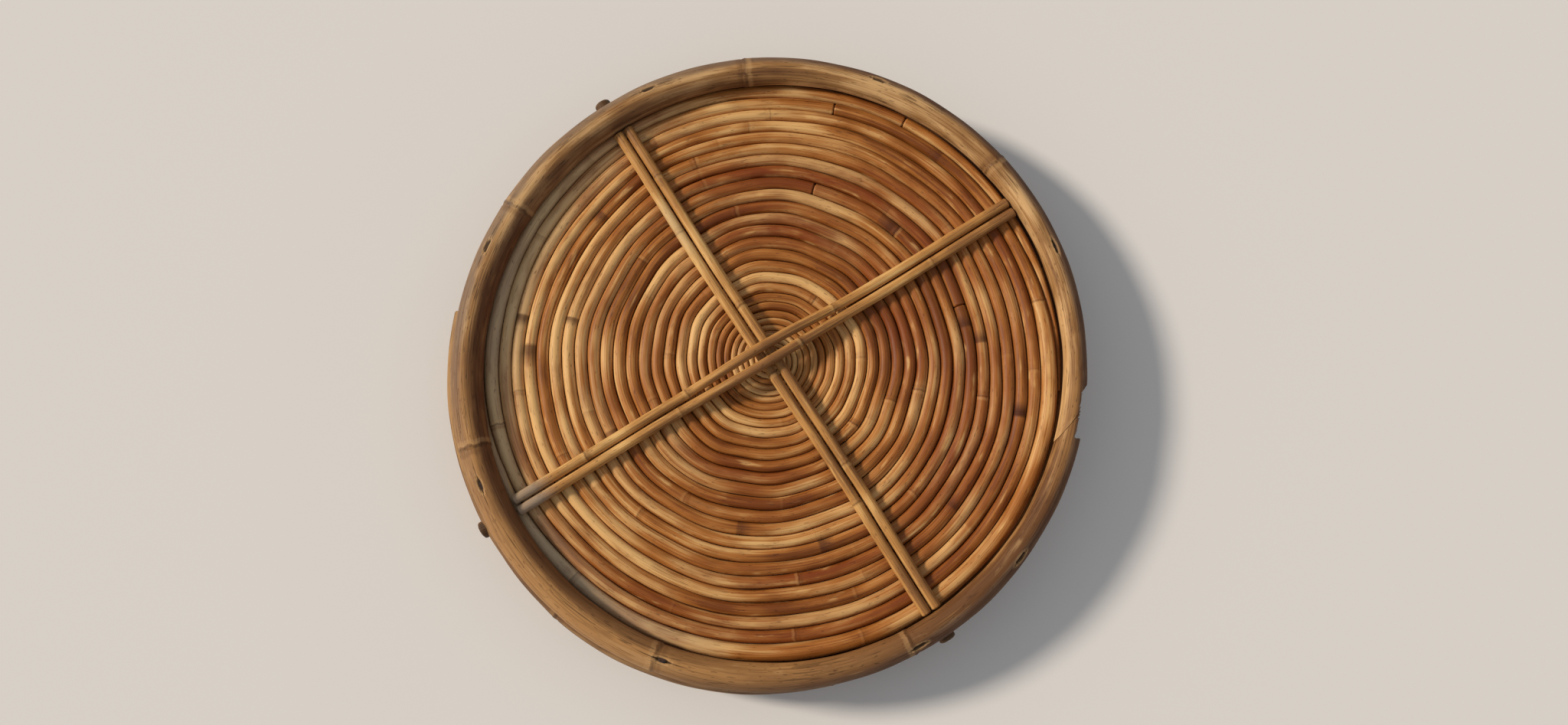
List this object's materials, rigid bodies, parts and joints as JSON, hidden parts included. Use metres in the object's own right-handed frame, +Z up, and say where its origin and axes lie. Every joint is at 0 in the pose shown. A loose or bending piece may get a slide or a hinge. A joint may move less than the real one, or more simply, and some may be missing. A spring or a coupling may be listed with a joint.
{
  "type": "round rattan tray",
  "caption": "Round shallow tray: a flat double spiral of rattan core held inside a rim of stacked bent poles, with thin rods crossing over the floor.",
  "frame": {"origin": "middle of the footprint, on the surface that the foot ring rests on", "axes": "+Z up out of the open face of the tray; +X to the right and +Y away from the viewer as in the picture"},
  "size_m": [0.3648, 0.3648, 0.0526],
  "materials": {
    "pale_cane": "shaved pale cane pole, dry satin",
    "brown_cane": "brown cane pole, dry satin",
    "honey_cane": "honey to reddish brown rattan core, satin",
    "straw_rod": "straw coloured thin rattan rod, satin",
    "nail_steel": "dark oxidised steel"
  },
  "bodies": {
    "root": {"rim_pole_top": "pale_cane", "rim_pole_middle": "brown_cane", "rim_pole_bottom": "brown_cane", "coil_first_end": "honey_cane", "coil_first_outer": "honey_cane", "coil_first_inner": "honey_cane", "coil_second_end": "honey_cane", "coil_second_outer": "honey_cane", "coil_second_inner": "honey_cane", "under_rod_1": "straw_rod", "under_rod_2": "straw_rod", "over_rod_1": "straw_rod", "over_rod_2": "straw_rod", "bearer_lower": "brown_cane", "bearer_upper": "brown_cane", "rim_nail_1": "nail_steel", "rim_nail_2": "nail_steel", "rim_nail_3": "nail_steel", "rim_nail_4": "nail_steel", "rim_nail_5": "nail_steel", "rim_nail_6": "nail_steel", "rim_nail_7": "nail_steel", "rim_nail_8": "nail_steel"}
  },
  "joints": []
}
